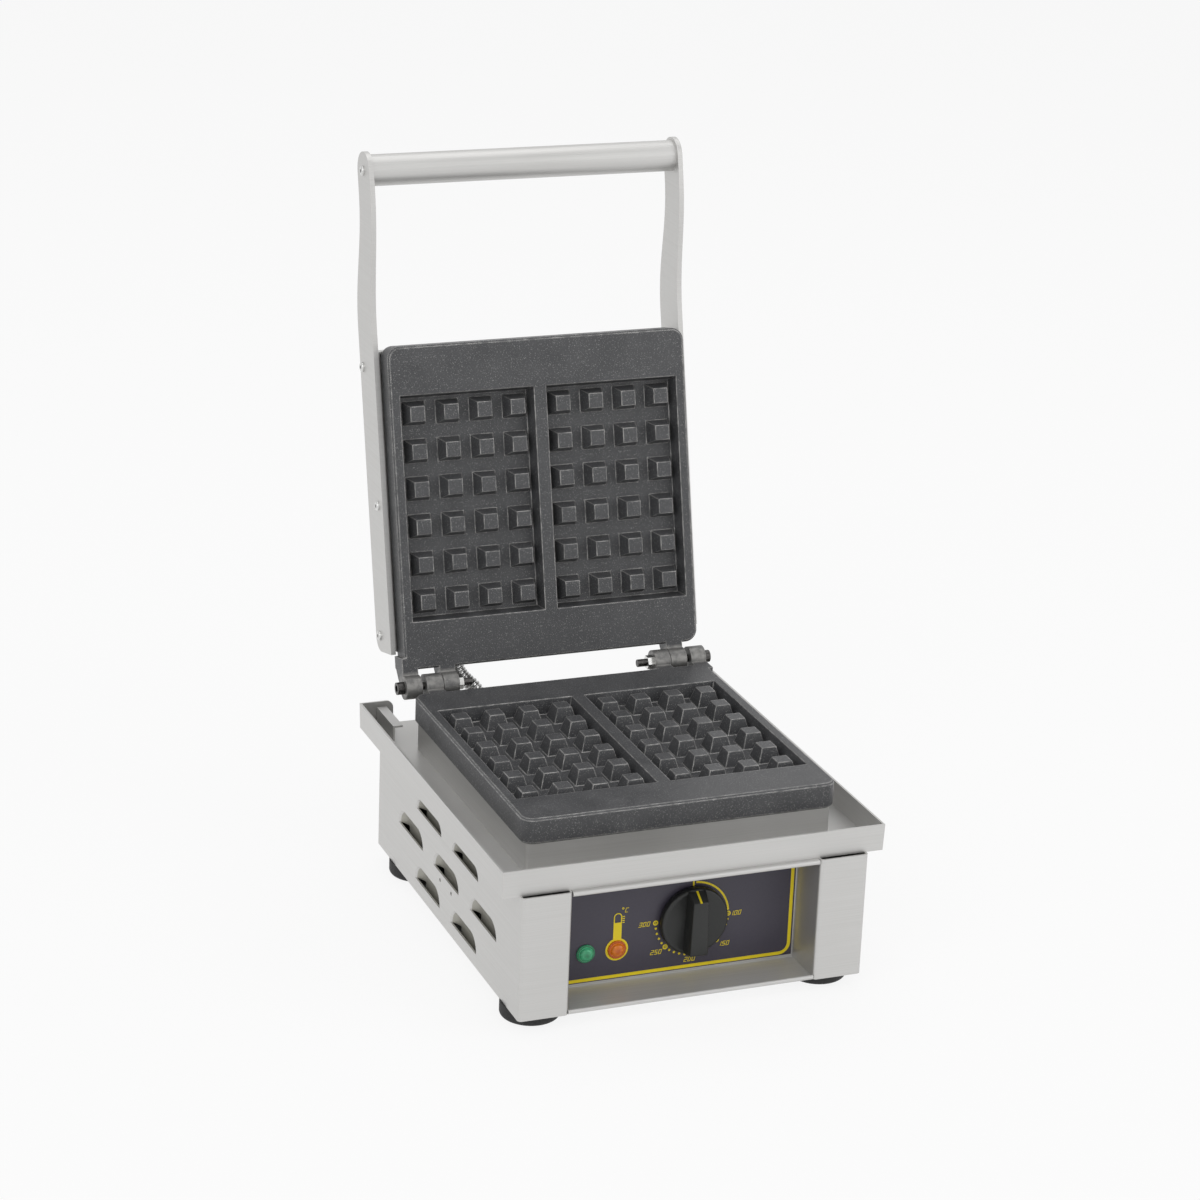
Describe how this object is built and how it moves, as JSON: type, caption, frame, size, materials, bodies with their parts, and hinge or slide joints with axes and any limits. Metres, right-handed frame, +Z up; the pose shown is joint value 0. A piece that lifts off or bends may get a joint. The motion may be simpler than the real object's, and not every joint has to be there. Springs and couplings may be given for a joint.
{
  "type": "waffle maker",
  "caption": "Countertop waffle iron: hinged cast plates with square studs, drip tray, louvred steel casing, dial and tubular handle, shown open.",
  "frame": {"origin": "bottom centre of the whole box, on the surface that the feet stand on", "axes": "+X to the right seen from the front, +Y to the back, +Z up"},
  "size_m": [0.305, 0.4323, 0.5659],
  "materials": {
    "brushed_stainless": "fine brushed",
    "black_casting": "speckled baked enamel",
    "black_plastic": "matt",
    "black_bolt": "black oxide",
    "zinc_nut": "zinc plated",
    "heater_sheath": "oxidised",
    "insulation_mat": "ceramic fibre",
    "bright_screw": "bright",
    "printed_film": "satin printed",
    "green_lens": "clear tinted",
    "amber_lens": "clear tinted",
    "black_knob": "satin",
    "yellow_paint": "printed line",
    "black_rubber": "moulded",
    "conduit_steel": "ribbed"
  },
  "bodies": {
    "base": {"side_wall_left": "brushed_stainless", "side_wall_right": "brushed_stainless", "bottom_plate": "brushed_stainless", "rear_panel": "brushed_stainless", "cable_gland": "black_plastic", "drip_tray": "brushed_stainless", "plinth": "brushed_stainless", "lower_plate": "black_casting", "hinge_bolts": "black_bolt", "hinge_nuts": "zinc_nut", "lower_heater": "heater_sheath", "lower_insulation": "insulation_mat", "heat_shield": "brushed_stainless", "fascia_panel": "brushed_stainless", "fascia_film": "printed_film", "green_lamp": "green_lens", "amber_lamp": "amber_lens", "lamp_bodies": "black_plastic", "thermostat": "zinc_nut", "thermostat_bulb": "heater_sheath", "feet": "black_rubber", "foot_screws": "bright_screw", "terminal_block": "black_plastic", "corner_strips": "brushed_stainless", "base_bush": "black_bolt", "flexible_conduit": "conduit_steel"},
    "lid": {"upper_plate": "black_casting", "lid_cover": "brushed_stainless", "upper_heater": "heater_sheath", "upper_insulation": "insulation_mat", "handle_arm_left": "brushed_stainless", "handle_arm_right": "brushed_stainless", "arm_screws": "bright_screw", "handle_screws": "bright_screw", "arm_washers": "bright_screw", "handle_tube": "brushed_stainless", "handle_plugs": "black_plastic", "lid_bush": "black_bolt"},
    "knob": {"knob": "black_knob", "knob_pointer": "yellow_paint", "knob_shaft": "bright_screw"}
  },
  "joints": [
    {"name": "lid_hinge", "type": "hinge", "parent": "base", "child": "lid", "pos_m": [0, 0.08834, 0.1575], "axis": [1, 0, 0], "range_deg": [0, 103.9], "deforming": ["flexible_conduit"]},
    {"name": "knob_turn", "type": "hinge", "parent": "base", "child": "knob", "pos_m": [0.0138, -0.17706, 0.0572], "axis": [0, 1, 0], "range_deg": [0, 270]}
  ]
}
